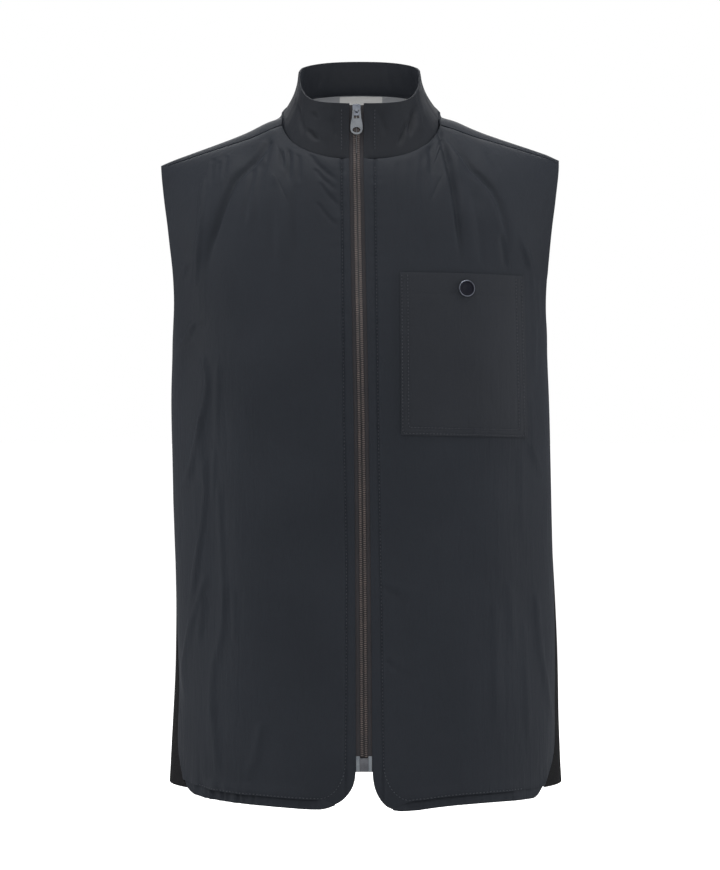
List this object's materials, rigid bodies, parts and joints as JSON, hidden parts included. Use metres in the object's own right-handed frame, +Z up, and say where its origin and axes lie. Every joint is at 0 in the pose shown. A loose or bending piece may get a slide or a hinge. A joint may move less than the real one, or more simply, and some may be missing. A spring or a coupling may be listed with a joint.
{
  "type": "sleeveless zip vest",
  "caption": "Sleeveless padded vest in its worn form, with a stand collar, full front zip with a swinging pull, a chest patch pocket and knit side panels.",
  "frame": {"origin": "midway between the two points where the collar meets the line of the shoulders", "axes": "+Z up, the front faces -Y, the wearer's left is +X"},
  "size_m": [0.4123, 0.2669, 0.7618],
  "materials": {
    "shell": "smooth close-woven nylon over thin padding, soft sheen",
    "knit": "matte rib knit",
    "lining": "plain lining, slightly lustrous",
    "label": "plain woven label, bare",
    "zip_tape": "woven tape, matte",
    "zip_coil": "satin coil",
    "tape_film": "clear stiffening film over the tape",
    "metal": "satin cast zinc",
    "snap_enamel": "gloss enamel"
  },
  "bodies": {
    "vest": {"front_right": "shell", "front_left": "shell", "back": "shell", "collar": "shell", "hem_band_right": "shell", "hem_band_left": "shell", "hem_band_back": "shell", "chest_pocket": "shell", "side_panel_right": "knit", "side_panel_left": "knit", "back_neck_lining": "lining", "neck_label": "label", "zip_tape_right": "zip_tape", "zip_tape_left": "zip_tape", "zip_coil_right": "zip_coil", "zip_coil_left": "zip_coil", "zip_end_right": "tape_film", "zip_end_left": "tape_film", "zip_slider": "metal", "zip_box": "metal", "pocket_snap": "snap_enamel"},
    "zip_pull": {"zip_pull": "metal"}
  },
  "joints": [
    {"name": "pull_swing", "type": "hinge", "parent": "vest", "child": "zip_pull", "pos_m": [-0.00446, -0.0832, -0.00455], "axis": [-1, 0, 0], "range_deg": [0, 165]}
  ]
}
